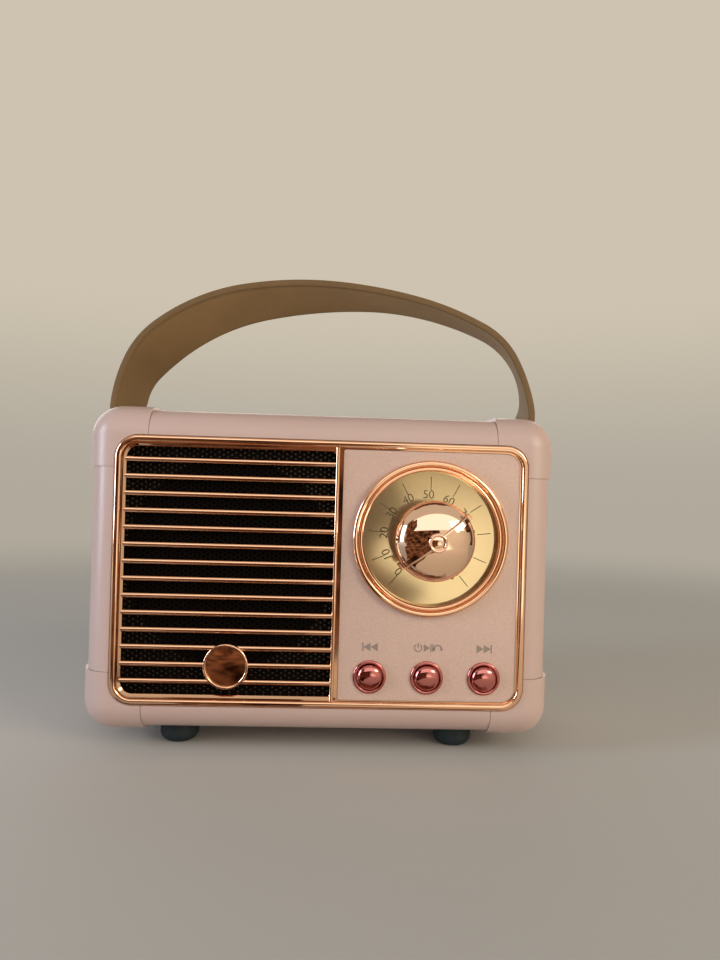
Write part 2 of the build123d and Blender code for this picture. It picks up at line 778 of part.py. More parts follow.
# Rubber surround with its half roll, and the spider that centres the coil
lip_inner = basket_bore + running_gap
lip_outer = lip_inner + surround_lip
roll_start = cone_radius + running_gap
roll_mid = (roll_start + lip_inner) / 2
roll_outer_top = cone_front - roll_radius
roll_inner_top = roll_outer_top + surround_sheet
under_start = roll_start + surround_sheet
under_end = lip_inner - surround_sheet
surround_profile = make_face(
    [
        ThreePointArc((roll_start, cone_front), (roll_mid, roll_outer_top), (lip_inner, cone_front)),
        Line((lip_inner, cone_front), (lip_outer, cone_front)),
        Line((lip_outer, cone_front), (lip_outer, gasket_back)),
        Line((lip_outer, gasket_back), (under_end, gasket_back)),
        ThreePointArc((under_end, gasket_back), (roll_mid, roll_inner_top), (under_start, gasket_back)),
        Line((under_start, gasket_back), (roll_start, gasket_back)),
        Line((roll_start, gasket_back), (roll_start, cone_front)),
    ]
)
parts["speaker_surround"] = turned(surround_profile, grille_x, speaker_level)
spider_ring = Circle(basket_neck - basket_sheet) - Circle(coil_outer + running_gap)
parts["speaker_spider"] = slab(spider_ring, shelf_front - spider_sheet, shelf_front, grille_x, speaker_level)

# Rear cover: a cap with rounded rear edges, raised corners, a tongue, screw tubes and the socket field
cover = rounded_cap(0, parting, body_depth, body_edge)
cover_pads = rounded_cap(guard_proud, parting, body_depth, body_edge + guard_proud)
for side, up in corner_names:
    cover += cover_pads & corner_block(side, up, 0, parting, body_depth)
tongue_width = body_width - 2 * wall - 2 * fit_gap
tongue_height = body_height - 2 * wall - 2 * fit_gap
tongue_corner = body_corner - wall - fit_gap
tongue_shape = RectangleRounded(tongue_width, tongue_height, tongue_corner)
cover += slab(tongue_shape, parting - tongue_length, parting)
hollow_shape = RectangleRounded(
    tongue_width - 2 * tongue_wall, tongue_height - 2 * tongue_wall, tongue_corner - tongue_wall
)
cover -= slab(hollow_shape, parting - tongue_length, cover_inside)
for x, level in cover_posts:
    cover += disc(post_radius + seat_gap, post_end, cover_inside, x, level)
    cover -= disc(cover_bore_radius, post_end, body_depth, x, level)
    cover -= disc(cover_head_radius + fit_gap, head_seat, body_depth, x, level)
main_board_back = cover_inside - main_board_standoff
main_board_front = main_board_back - board_thickness
main_spread_x = main_board_width / 2 - board_hole_inset
main_spread_z = main_board_height / 2 - board_hole_inset
main_posts = grid(main_board_x, main_board_level, main_spread_x, main_spread_z)
for x, level in main_posts:
    cover += disc(board_post_radius, main_board_back, cover_inside, x, level)
    cover -= disc(pilot_radius, main_board_back, main_board_back + screw_bite + screw_tip_gap, x, level)
port_face = body_depth - port_recess
port_level = main_board_level
port_field = RectangleRounded(port_field_width, port_field_height, port_field_corner)
cover -= slab(port_field, port_face, body_depth, main_board_x, port_level)
usb_shape = SlotOverall(usb_width, usb_height)
cover -= disc(jack_radius + fit_gap, cover_inside, port_face, jack_x, port_level)
cover -= disc(light_radius + fit_gap, cover_inside, port_face, light_x, port_level)
usb_hole = SlotOverall(usb_width + 2 * fit_gap, usb_height + 2 * fit_gap)
cover -= slab(usb_hole, cover_inside, port_face, usb_x, port_level)
card_hole = Rectangle(card_width + 2 * fit_gap, card_height + 2 * fit_gap)
cover -= slab(card_hole, cover_inside, port_face, card_x, port_level)
parts["rear_cover"] = cover
parts["rear_cover_screws"] = Compound(
    [
        screw(cover_screw_radius, cover_screw_length, cover_head_radius, cover_head_depth, head_seat, x, level)
        for x, level in cover_posts
    ]
)

# Main board on the cover's standoffs, and its screws
main_board_shape = Rectangle(main_board_width, main_board_height)
main_board = slab(main_board_shape, main_board_front, main_board_back, main_board_x, main_board_level)
for x, level in main_posts:
    main_board -= disc(pilot_radius, main_board_front, main_board_back, x, level)
parts["main_board"] = main_board
main_screws = []
for x, level in main_posts:
    sizes = (screw_radius, board_screw_length, screw_head_radius, screw_head_depth)
    main_screws.append(screw(*sizes, main_board_front, x, level, -1))
parts["main_board_screws"] = Compound(main_screws)

# Sockets on the main board that come through the cover
socket_bottom = main_board_back + socket_floor
jack_shape = Rectangle(jack_block, jack_block)
jack = slab(jack_shape, main_board_back, main_board_back + jack_block_depth, jack_x, port_level)
jack += disc(jack_radius, main_board_back, port_face, jack_x, port_level)
parts["aux_jack"] = jack - disc(jack_bore, socket_bottom, port_face, jack_x, port_level)
usb_mouth = SlotOverall(usb_width - 2 * usb_shell, usb_height - 2 * usb_shell)
usb = slab(usb_shape, main_board_back, port_face, usb_x, port_level)
usb -= slab(usb_mouth, socket_bottom, port_face, usb_x, port_level)
usb_tongue = Rectangle(usb_tongue_width, usb_tongue_height)
usb += slab(usb_tongue, socket_bottom, port_face - usb_tongue_setback, usb_x, port_level)
parts["usb_socket"] = usb
card = slab(Rectangle(card_width, card_height), main_board_back, port_face, card_x, port_level)
card_mouth = Rectangle(card_mouth_width, card_mouth_height)
parts["card_socket"] = card - slab(card_mouth, socket_bottom, port_face, card_x, port_level)
parts["charge_light"] = disc(light_radius, main_board_back, port_face, light_x, port_level)

# Battery on its foam pad, stuck to the rear cover
pad_front = cover_inside - pad_thickness
battery_shape = RectangleRounded(battery_width, battery_height, battery_corner)
pad_shape = Rectangle(battery_width - 2 * pad_margin, battery_height - 2 * pad_margin)
parts["battery"] = slab(battery_shape, pad_front - battery_depth, pad_front, battery_x, battery_level)
parts["battery_pad"] = slab(pad_shape, pad_front, cover_inside, battery_x, battery_level)

# Rubber feet with a spigot that plugs into the housing
foot_body = Cylinder(foot_radius, foot_height, align=(Align.CENTER, Align.CENTER, Align.MAX))
foot_body = fillet(foot_body.edges().group_by(Axis.Z)[0], foot_round)
foot_body += Cylinder(spigot_radius, spigot_length, align=(Align.CENTER, Align.CENTER, Align.MIN))
for name, place in foot_spots.items():
    parts[name] = place * foot_body

# Strap: two arches, one for each edge, of the same lines and arcs, joined by straight rulings.
# Each bend is a side, a place on the strap's outer face and the heading there in degrees. The place
# counts to the right from that side's leg, or from the middle, and up from the cabinet's top.
# The two edges differ, because the strap is twisted.
front_bends = [
    (-1, -1.0, 2.6, 86),
    (-1, 10.5, 24.5, 34),
    (0, 1.0, 33.4, 0),
    (1, -11.5, 22.1, -38),
    (1, -0.5, 4.1, -73),
]
rear_bends = [
    (-1, 1.5, 3.1, 75),
    (-1, 9.4, 14.7, 43),
    (0, 8.5, 30.4, 0),
    (1, -12.1, 23.3, -31),
    (1, 2.0, 4.6, -78),
]


def route_of(arch):
    """Places and directions along one edge, from the left slot to the right one."""
    route = [(Vector(-strap_outer_x, strap_exit_level), Vector(0, 1))]
    for side, shift, rise, heading in arch:
        place = Vector(side * strap_outer_x + shift, body_height / 2 + rise)
        route.append((place, Vector(cos(radians(heading)), sin(radians(heading)))))
    route.append((Vector(strap_outer_x, strap_exit_level), Vector(0, -1)))
    return route


def with_joints(route):
    """The bends with the place between each pair where two tangent arcs of a biarc meet."""
    chain = [route[0]]
    for (start, start_way), (end, end_way) in zip(route, route[1:]):
        span = end - start
        ways = start_way + end_way
        spread = 2 * (1 - start_way.dot(end_way))
        along = span.dot(ways)
        reach = span.dot(span) / (2 * along)
        if spread > 1e-9:
            reach = (sqrt(along**2 + spread * span.dot(span)) - along) / spread
        near = start + start_way * reach
        far = end - end_way * reach
        chain.append(((near + far) / 2, (far - near).normalized()))
        chain.append((end, end_way))
    return chain


def strap_edge(arch):
    """The section of the strap at one edge: legs, outer arcs, and inner arcs one thickness inside."""
    outer = with_joints(route_of(arch))
    inner = [(place + Vector(way.Y, -way.X) * strap_thickness, way) for place, way in outer]
    lines = []
    for chain in (outer, inner):
        first = chain[0][0]
        last = chain[-1][0]
        lines.append(Line((first.X, strap_tail_level), first))
        for (start, way), (end, _) in zip(chain, chain[1:]):
            lines.append(TangentArc(start, end, tangent=way))
        lines.append(Line(last, (last.X, strap_tail_level)))
    for end in (0, -1):
        outer_x = outer[end][0].X
        inner_x = inner[end][0].X
        lines.append(Line((outer_x, strap_tail_level), (inner_x, strap_tail_level)))
    return make_face(lines)


strap_sections = [facing(strap_front) * strap_edge(front_bends), facing(strap_rear) * strap_edge(rear_bends)]
parts["strap"] = loft(strap_sections, ruled=True)

# Clamp plates that hold the strap's ends against the side walls
clamp_length = clamp_bosses[1] - clamp_bosses[0] + 2 * clamp_margin
clamp_middle = (strap_front + strap_rear) / 2
clamp_screws = []
for side, name in ((-1, "left"), (1, "right")):
    plate_x = side * (strap_inner_x - clamp_thickness / 2)
    clamp_place = Pos(plate_x, front_y + clamp_middle, centre_z + clamp_level)
    clamp = clamp_place * Box(clamp_thickness, clamp_length, clamp_height)
    clamp_face = strap_inner_x - clamp_thickness
    for depth in clamp_bosses:
        clamp -= sideways(side, depth, clamp_level, pilot_radius, clamp_face, strap_inner_x)
        shank = sideways(side, depth, clamp_level, screw_radius, clamp_face, clamp_screw_tip - running_gap)
        head = sideways(side, depth, clamp_level, screw_head_radius, clamp_face - screw_head_depth, clamp_face)
        clamp_screws.append(shank + head)
    parts[f"strap_clamp_{name}"] = clamp
parts["strap_screws"] = Compound(clamp_screws)

# One file for each piece
os.makedirs("parts", exist_ok=True)
for name, shape in parts.items():
    export_step(shape, f"parts/{name}.step")
print(len(parts), "pieces")
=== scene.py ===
import json
import math

import bpy
import numpy as np
from mathutils import Matrix, Vector

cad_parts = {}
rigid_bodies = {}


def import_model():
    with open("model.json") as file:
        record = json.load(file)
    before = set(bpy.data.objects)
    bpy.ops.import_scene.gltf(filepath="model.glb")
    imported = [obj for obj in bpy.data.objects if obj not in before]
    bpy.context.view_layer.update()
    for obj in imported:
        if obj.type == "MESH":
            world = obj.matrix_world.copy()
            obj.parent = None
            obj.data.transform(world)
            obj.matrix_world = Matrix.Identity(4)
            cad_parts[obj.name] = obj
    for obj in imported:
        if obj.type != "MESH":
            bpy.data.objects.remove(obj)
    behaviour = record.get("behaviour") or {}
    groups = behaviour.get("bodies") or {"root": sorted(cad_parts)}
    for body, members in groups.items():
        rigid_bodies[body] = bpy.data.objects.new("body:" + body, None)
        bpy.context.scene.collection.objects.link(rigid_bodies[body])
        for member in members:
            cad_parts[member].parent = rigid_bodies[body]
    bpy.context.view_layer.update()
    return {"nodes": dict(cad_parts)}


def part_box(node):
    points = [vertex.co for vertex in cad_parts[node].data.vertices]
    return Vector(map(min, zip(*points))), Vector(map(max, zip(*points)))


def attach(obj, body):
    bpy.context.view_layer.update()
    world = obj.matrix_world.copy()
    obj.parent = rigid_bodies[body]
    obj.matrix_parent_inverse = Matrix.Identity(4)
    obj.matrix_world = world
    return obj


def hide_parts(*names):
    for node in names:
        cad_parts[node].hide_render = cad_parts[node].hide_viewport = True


for leftover in list(bpy.data.objects):
    bpy.data.objects.remove(leftover)
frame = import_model()
nodes = frame["nodes"]


# Cabinet: a front shell, a rear cover and four corner guards.
# They are injection-moulded in pale pink plastic with a very fine spark-eroded grain, and the plastic in the
# pocket behind the mesh is painted darker, as painted shade.
# The guards are snapped over seats in the corners, and the cover is screwed on from behind.
class Paint:
    """One socket of a material's node tree. Sums on it add Math nodes, and node() adds any other node."""

    def __init__(self, tree, socket=None):
        self.tree = tree
        self.socket = socket

    def node(self, kind, settings, values, output=0):
        """Adds a node of that type, with its settings made first, then the values or links of its sockets."""
        made = self.tree.nodes.new(kind)
        for name, value in settings.items():
            setattr(made, name, value)
        for name, value in values.items():
            if isinstance(value, Paint):
                self.tree.links.new(value.socket, made.inputs[name])
            else:
                made.inputs[name].default_value = value
        return Paint(self.tree, made.outputs[output])

    def feed(self, target):
        """Links this socket to an input of the material's shader."""
        self.tree.links.new(self.socket, target)

    def maths(self, operation, first, second):
        """A Math node on two sockets or numbers."""
        return self.node("ShaderNodeMath", {"operation": operation}, {0: first, 1: second})

    def __add__(self, other):
        return self.maths("ADD", self, other)

    def __mul__(self, other):
        return self.maths("MULTIPLY", self, other)

    def __gt__(self, other):
        return self.maths("GREATER_THAN", self, other)

    def __lt__(self, other):
        return self.maths("LESS_THAN", self, other)

    __radd__ = __add__
    __rmul__ = __mul__

    def between(self, low, high):
        """A colour that goes from low to high as this socket goes from 0 to 1."""
        return self.node("ShaderNodeMix", {"data_type": "RGBA"}, {0: self, 6: low, 7: high}, 2)

    def part(self, axis):
        """The X, Y or Z of a place, in metres."""
        return self.node("ShaderNodeSeparateXYZ", {}, {0: self}, axis)

    def rise(self, start, end, kind="LINEAR"):
        """A share that goes from 0 to 1 as this socket goes from start to end, and stops at both."""
        values = {"Value": self, "From Min": start, "From Max": end}
        return self.node("ShaderNodeMapRange", {"interpolation_type": kind}, values)


def tone(red, green, blue):
    """A colour given as screen values from 0 to 255, as the linear numbers that a shader takes."""
    share = np.array([red, green, blue]) / 255
    linear = np.where(share <= 0.04045, share / 12.92, ((share + 0.055) / 1.055) ** 2.4)
    return (*linear.tolist(), 1.0)


def start_finish(name, fixed):
    """A new material with fixed numbers on its shader. Gives the material, its shader's inputs and its Object
    coordinates."""
    made = bpy.data.materials.new(name)
    made.use_nodes = True
    inputs = made.node_tree.nodes["Principled BSDF"].inputs
    for socket, value in fixed.items():
        inputs[socket].default_value = value
    place = Paint(made.node_tree).node("ShaderNodeTexCoord", {}, {}, "Object")
    return made, inputs, place


def grain(place, scale, detail=3.0):
    """Soft noise from 0 to 1, with about scale lumps a metre."""
    return place.node("ShaderNodeTexNoise", {}, {"Vector": place, "Scale": scale, "Detail": detail})


def rough_skin(inputs, height, strength, depth):
    """Lets a height pattern tilt the surface's shading, as a texture of that depth in metres does."""
    settings = {"Strength": strength, "Distance": depth, "Height": height}
    height.node("ShaderNodeBump", {}, settings).feed(inputs["Normal"])


def wear(finish, *names):
    """Puts a finish on CAD nodes."""
    for name in names:
        for place in nodes[name].material_slots:
            place.material = finish


def inside(place, low, high):
    """1 inside the box between two corners, and 0 outside it."""
    share = 1.0
    for axis, first, last in zip("XYZ", low, high):
        along = place.part(axis)
        share = share * (along > first) * (along < last)
    return share


pocket_start = 0.0001
pocket_depth = 0.004
guards = [f"guard_{up}_{side}" for up in ("top", "bottom") for side in ("left", "right")]
shell_plastic, shell, spot = start_finish("shell_plastic", {"Specular IOR Level": 0.45})
shade = grain(spot, 35.0, 4.0)
skin = shade.between(tone(193, 166, 157), tone(200, 174, 166))
mesh_low, mesh_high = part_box("speaker_mesh")
pocket_low = (mesh_low[0], mesh_high[1] - pocket_start, mesh_low[2])
pocket_high = (mesh_high[0], mesh_high[1] + pocket_depth, mesh_high[2])
# Painted shade: the plastic in the pocket behind the mesh is a dull olive grey where the holes look in.
behind = inside(spot, pocket_low, pocket_high)
behind.between(skin, tone(124, 113, 90)).feed(shell["Base Color"])
spark = grain(spot, 5200.0, 2.0)
(0.30 + 0.08 * grain(spot, 160.0)).feed(shell["Roughness"])
rough_skin(shell, spark, 0.18, 0.00006)
wear(shell_plastic, "housing", "rear_cover", *guards)

# Plated front frame: outer bead, divider, bars and badge ring in one moulding.
# It is plastic plated in rose gold and polished, and pressed into the pocket of the front shell. The badge's
# disc and the dial's bezel have the same plating.
rose_plating, plating, spot = start_finish("rose_plating", {"Metallic": 1.0})
cloud = grain(spot, 90.0, 4.0)
cloud.between(tone(240, 192, 158), tone(246, 202, 170)).feed(plating["Base Color"])
(0.05 + 0.06 * grain(spot, 400.0)).feed(plating["Roughness"])
wear(rose_plating, "grille_frame", "badge_disc", "dial_bezel")

# Speaker mesh: thin steel sheet punched with round holes in a honeycomb layout.
# It is painted matt black and lies in a seat at the back of the plated frame, against the front wall.
hole_pitch = 0.0011
hole_radius = 0.00026
hole_sides = 12
least_area = 1e-10


def mesh_object(name, points, faces, finish):
    """A mesh object at the origin, from arrays of points and faces, with its finish."""
    mesh = bpy.data.meshes.new(name)
    mesh.from_pydata(points.tolist(), [], faces.tolist())
    mesh.materials.append(finish)
    mesh.update()
    piece = bpy.data.objects.new(name, mesh)
    bpy.context.scene.collection.objects.link(piece)
    return piece


def new_piece(name, points, faces, body, finish):
    """A mesh object with its finish, that rides on a body."""
    piece = mesh_object(name, points, faces, finish)
    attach(piece, body)
    return piece


def punched_sheet(low, high):
    """A flat sheet of six-sided cells, each with a round hole: a cell is two rings of the same angles, its edge
    and its hole's rim. Points past the sheet's border are moved to it, and faces left without area go."""
    step_x = hole_pitch * math.sqrt(3) / 2
    columns = np.arange(math.ceil((high[0] - low[0]) / step_x) + 1)
    rows = np.arange(math.ceil((high[2] - low[2]) / hole_pitch) + 1)
    column, row = (index.ravel() for index in np.meshgrid(columns, rows, indexing="ij"))
    centres = np.stack([low[0] + column * step_x, low[2] + (row + 0.5 * (column % 2)) * hole_pitch], -1)
    turn = np.arange(hole_sides) * 2 * np.pi / hole_sides
    edge = hole_pitch / 2 / np.cos(turn % (np.pi / 3) - np.pi / 6)
    radii = np.stack([edge, np.full(hole_sides, hole_radius)])
    offsets = np.stack([radii * np.cos(turn), radii * np.sin(turn)], -1)
    flat = (centres[:, None, None] + offsets).reshape(-1, 2)
    flat = np.round(np.clip(flat, (low[0], low[2]), (high[0], high[2])), 7)
    ring = np.arange(hole_sides)
    after = (ring + 1) % hole_sides
    cell = np.stack([ring, after, hole_sides + after, hole_sides + ring], -1)
    faces = (np.arange(len(centres))[:, None, None] * 2 * hole_sides + cell).reshape(-1, 4)
    across = flat[faces[:, 2]] - flat[faces[:, 0]]
    along = flat[faces[:, 3]] - flat[faces[:, 1]]
    area = np.abs(across[:, 0] * along[:, 1] - across[:, 1] * along[:, 0]) / 2
    flat, merged = np.unique(flat, axis=0, return_inverse=True)
    points = np.stack([flat[:, 0], np.full(len(flat), low[1]), flat[:, 1]], -1)
    return points, merged.reshape(-1)[faces[area > least_area]]


black_paint, paint, spot = start_finish("black_paint", {"Roughness": 0.7, "Specular IOR Level": 0.04})
grain(spot, 700.0).between(tone(5, 2, 1), tone(11, 6, 3)).feed(paint["Base Color"])
rough_skin(paint, grain(spot, 4000.0), 0.25, 0.00004)
sheet_points, sheet_faces = punched_sheet(mesh_low, mesh_high)
speaker_sheet = new_piece("punched_mesh", sheet_points, sheet_faces, "cabinet", black_paint)
thicken = speaker_sheet.modifiers.new("sheet_thickness", "SOLIDIFY")
thicken.thickness = mesh_high[1] - mesh_low[1]
thicken.offset = -1.0
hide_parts("speaker_mesh")

# Control panel: a moulded plate sprayed with pearl paint, which sparkles in tiny grains.
# It is clipped into the right half of the plated frame, flush below its bead.
pearl_paint, pearl, spot = start_finish("pearl_paint", {"Metallic": 0.15})
flake = spot.node("ShaderNodeTexVoronoi", {}, {"Vector": spot, "Scale": 5500.0}, "Color")
flake = flake.node("ShaderNodeSeparateColor", {}, {"Color": flake}, 0)
flake.between(tone(197, 168, 156), tone(212, 183, 170)).feed(pearl["Base Color"])
(0.30 + 0.18 * flake).feed(pearl["Roughness"])
rough_skin(pearl, grain(spot, 4500.0), 0.10, 0.00004)
wear(pearl_paint, "control_panel")

# Printed signs over the buttons: generic transport signs in grey ink, laid on the panel.
# Each sign is a set of flat shapes, drawn one unit high and scaled, a hair in front of the paint.
sign_height = 0.0019
sign_level = 0.0251
ink_lift = 0.00003
sign_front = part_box("control_panel")[0][1] - ink_lift
keys = ("prev", "play", "next")
key_x = {key: np.mean(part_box(f"{key}_button"), axis=0)[0] for key in keys}


def flat_ring(start, end, inner, outer, steps=28):
    """A band between two radii, from one angle to another in degrees, as a row of four-sided faces."""
    turn = np.radians(np.linspace(start, end, steps))
    rim = np.stack([np.cos(turn), np.sin(turn)], -1)
    points = np.concatenate([rim * inner, rim * outer])
    first = np.arange(steps - 1)
    faces = np.stack([first, first + steps, first + 1 + steps, first + 1], -1)
    return points, faces


def flat_shape(*corners):
    """A flat shape of four corners, given anticlockwise as seen from the front."""
    return np.array(corners, float), np.array([[0, 1, 2, 3]])


def joined(shapes):
    """Several flat shapes, each with its own shift and scale, as one set of points and faces."""
    points, faces, count = [], [], 0
    for (shape_points, shape_faces), scale, shift in shapes:
        points.append(shape_points * scale + np.array(shift))
        faces.append(shape_faces + count)
        count += len(shape_points)
    return np.concatenate(points), np.concatenate(faces)


def print_on(flat, x, front, z):
    """Flat points stood upright as a print that faces forward at that depth, with their zero at x and z."""
    return np.stack([flat[:, 0] + x, np.full(len(flat), front), flat[:, 1] + z], -1)


play_arrow = flat_shape((0, -0.5), (0.8, -0.04), (0.8, 0.04), (0, 0.5))
stroke = flat_shape((0, -0.5), (0.16, -0.5), (0.16, 0.5), (0, 0.5))
power_ring = flat_ring(120, 420, 0.36, 0.5)
handset = flat_ring(20, 160, 0.34, 0.52)
earpiece = flat_shape((-0.14, -0.16), (0.14, -0.16), (0.14, 0.16), (-0.14, 0.16))
next_sign = [(play_arrow, 1.0, (-0.9, 0)), (play_arrow, 1.0, (-0.05, 0)), (stroke, 1.0, (0.78, 0))]
prev_sign = [(shape, scale * np.array([-1, 1]), (-shift[0], 0)) for shape, scale, shift in next_sign]
play_sign = [
    (power_ring, 1.0, (-1.1, 0)),
    (stroke, np.array([0.9, 0.6]), (-1.17, 0.3)),
    (play_arrow, 0.9, (-0.42, 0)),
    (stroke, 0.9, (0.36, 0)),
    (stroke, 0.9, (0.6, 0)),
    (handset, 1.0, (1.25, -0.1)),
    (earpiece, 1.0, (0.82, -0.12)),
    (earpiece, 1.0, (1.68, -0.12)),
]
grey_ink, ink, spot = start_finish("grey_ink", {"Roughness": 0.55})
grain(spot, 2500.0).between(tone(132, 116, 108), tone(158, 140, 130)).feed(ink["Base Color"])
for key, sign in zip(keys, (prev_sign, play_sign, next_sign)):
    flat, faces = joined(sign)
    if key == "prev":
        faces = faces[:, ::-1]
    printed = print_on(flat * sign_height, key_x[key], sign_front, sign_level)
    new_piece(f"{key}_sign", printed, faces, "cabinet", grey_ink)

# Dial plate: stamped aluminium with a satin gold lacquer, screwed under the control's nut.
# The scale on it is printed in olive ink: eleven strokes and the numbers 0 to 100.
dial_low, dial_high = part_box("dial_plate")
dial_x = (dial_low[0] + dial_high[0]) / 2
dial_z = (dial_low[2] + dial_high[2]) / 2
print_front = dial_low[1] - ink_lift
scale_sweep = 280.0
scale_steps = 10
stroke_outer = 0.0140
stroke_inner = 0.0109
stroke_width = 0.00017
number_step = 10
number_radius = 0.0100
number_shift = -0.0005
number_height = 0.00185
number_thinning = 0.004

gold_lacquer, lacquer, spot = start_finish("gold_lacquer", {"Metallic": 0.75})
centred = spot.node("ShaderNodeMapping", {}, {"Vector": spot, "Location": (-dial_x, 0.0, -dial_z)})
rings = centred.node(
    "ShaderNodeTexWave",
    {"wave_type": "RINGS", "rings_direction": "Y"},
    {"Vector": centred, "Scale": 1400.0, "Distortion": 1.5, "Detail": 2.0},
)
satin = 0.5 * rings + 0.5 * grain(spot, 220.0)
satin.between(tone(200, 178, 136), tone(214, 194, 152)).feed(lacquer["Base Color"])
(0.09 + 0.05 * rings).feed(lacquer["Roughness"])
wear(gold_lacquer, "dial_plate")

olive_ink, olive, spot = start_finish("olive_ink", {"Roughness": 0.6})
grain(spot, 2500.0).between(tone(72, 62, 38), tone(94, 82, 54)).feed(olive["Base Color"])
steps = np.arange(scale_steps + 1)
bearings = np.radians(-scale_sweep / 2 + scale_sweep * steps / scale_steps)


def turned_out(points, bearing):
    """Flat points, drawn upright with the dial's middle at zero, turned clockwise by a bearing from the top."""
    x, z = points[..., 0], points[..., 1]
    return np.stack([x * np.cos(bearing) + z * np.sin(bearing), z * np.cos(bearing) - x * np.sin(bearing)], -1)


half = stroke_width / 2
upright = np.array([(-half, stroke_inner), (half, stroke_inner), (half, stroke_outer), (-half, stroke_outer)])
strokes = turned_out(upright[None], bearings[:, None]).reshape(-1, 2)
stroke_faces = np.arange(len(strokes)).reshape(-1, 4)
stroke_points = print_on(strokes, dial_x, print_front, dial_z)
new_piece("dial_strokes", stroke_points, stroke_faces, "cabinet", olive_ink)


def number_mesh(words):
    """Flat points and three-sided faces of a printed number, taken from the text's outline filled in. Its box is
    centred at zero and is one number height tall."""
    curve = bpy.data.curves.new("number", "FONT")
    curve.body = words
    curve.offset = -number_thinning
    holder = bpy.data.objects.new("number", curve)
    mesh = bpy.data.meshes.new_from_object(holder)
    points = np.zeros(len(mesh.vertices) * 3)
    mesh.vertices.foreach_get("co", points)
    mesh.calc_loop_triangles()
    faces = np.zeros(len(mesh.loop_triangles) * 3, np.int32)
    mesh.loop_triangles.foreach_get("vertices", faces)
    bpy.data.objects.remove(holder)
    bpy.data.curves.remove(curve)
    bpy.data.meshes.remove(mesh)
    points = points.reshape(-1, 3)[:, :2]
    points -= (points.min(0) + points.max(0)) / 2
    return points * number_height / np.ptp(points[:, 1]), faces.reshape(-1, 3)


numbers = []
for step, bearing in zip(steps.tolist(), bearings.tolist()):
    flat, faces = number_mesh(str(number_step * step))
    placed = turned_out(flat + np.array([0, number_radius]), bearing)
    numbers.append(((placed, faces), 1.0, (number_shift, 0)))
flat, number_faces = joined(numbers)
number_points = print_on(flat, dial_x, print_front, dial_z)
new_piece("dial_numbers", number_points, number_faces, "cabinet", olive_ink)

# Knob and pointer: a hollow dome with a rib and a hub, both plated and polished to a mirror.
# The knob is pushed on the control's shaft, and the pointer is bonded into it.
mirror_rose, mirror, spot = start_finish("mirror_rose", {"Metallic": 1.0})
grain(spot, 60.0).between(tone(244, 206, 180), tone(250, 216, 192)).feed(mirror["Base Color"])
(0.03 + 0.03 * grain(spot, 500.0)).feed(mirror["Roughness"])
wear(mirror_rose, "dial_knob", "dial_pointer")

# Buttons and their rings: small polished domes, plated in a redder rose than the frame.
# Each button slides in its ring, which is pressed into the panel.
red_rose, rose, spot = start_finish("red_rose", {"Metallic": 1.0})
grain(spot, 300.0).between(tone(192, 118, 116), tone(206, 132, 129)).feed(rose["Base Color"])
(0.07 + 0.06 * grain(spot, 900.0)).feed(rose["Roughness"])
wear(red_rose, *(f"{key}_button" for key in keys), *(f"{key}_ring" for key in keys))

# Strap handle: one band of brown leatherette with a napped face and cut edges.
# Its ends go down through slots in the top guards and are clamped to the side walls inside. A bend of an edge
# gives the leg it is measured from, 0 for the middle, then millimetres right and up, and a heading in degrees.
strap_thickness = 0.0016
strap_rounding = 0.00035
rim_reach = 1.5
straight = 1e-9
strap_low, strap_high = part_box("strap")
strap_width = strap_high[1] - strap_low[1]
leg_x = 0.0507
leg_end = 0.0557
exit_level = 0.0747
top_level = 0.0771
lighter_top_start = 0.09
lighter_top_end = 0.11
front_bends = [
    (-1, -0.7, 1.6, 85),
    (-1, 9.2, 22.2, 38),
    (0, 2.6, 33.1, -4),
    (1, -12.7, 24.2, -27),
    (1, -0.2, 4.7, -78),
]
rear_bends = [
    (-1, 2.4, 5.0, 78),
    (-1, 11.6, 17.1, 40),
    (0, 9.4, 31.7, 1),
    (1, -9.6, 25.2, -24),
    (1, 2.3, 7.9, -87),
]


def strap_line(bends, steps=26):
    """Points and outward directions along one edge: straight legs, and between each pair of bends two arcs that
    meet with one tangent. Each arc is a circle through its start, with its start heading, to its end."""
    route = [((-leg_x, leg_end), 90), ((-leg_x, exit_level), 90)]
    for side, shift, lift, heading in bends:
        route.append(((side * leg_x + shift / 1000, top_level + lift / 1000), heading))
    route += [((leg_x, exit_level), -90), ((leg_x, leg_end), -90)]
    places, ways = [], []
    share = np.linspace(0, 1, steps, endpoint=False)[:, None]
    for (start, start_heading), (end, end_heading) in zip(route, route[1:]):
        start, end = np.array(start), np.array(end)
        way0 = np.array([math.cos(math.radians(start_heading)), math.sin(math.radians(start_heading))])
        way1 = np.array([math.cos(math.radians(end_heading)), math.sin(math.radians(end_heading))])
        span = end - start
        along = span @ (way0 + way1)
        spread = 2 * (1 - way0 @ way1)
        reach = span @ span / (2 * along)
        if spread > straight:
            reach = (math.sqrt(along**2 + spread * (span @ span)) - along) / spread
        near, far = start + way0 * reach, end - way1 * reach
        meet = (near + far) / 2
        meet_way = (far - near) / np.linalg.norm(far - near)
        for first, last, way in ((start, meet, way0), (meet, end, meet_way)):
            chord = last - first
            bend = 2 * math.atan2(way[0] * chord[1] - way[1] * chord[0], way @ chord)
            start_turn = math.atan2(way[1], way[0])
            turn = start_turn + bend * share
            if abs(bend) < straight:
                places.append(first + chord * share)
            else:
                radius = np.linalg.norm(chord) / (2 * math.sin(bend / 2))
                x = first[0] + radius * (np.sin(turn) - math.sin(start_turn))
                z = first[1] - radius * (np.cos(turn) - math.cos(start_turn))
                places.append(np.concatenate([x, z], 1))
            ways.append(np.concatenate([np.cos(turn), np.sin(turn)], 1))
    places.append(np.array([route[-1][0]]))
    ways.append(np.array([[0.0, -1.0]]))
    places, ways = np.concatenate(places), np.concatenate(ways)
    return places, np.stack([-ways[:, 1], ways[:, 0]], -1)


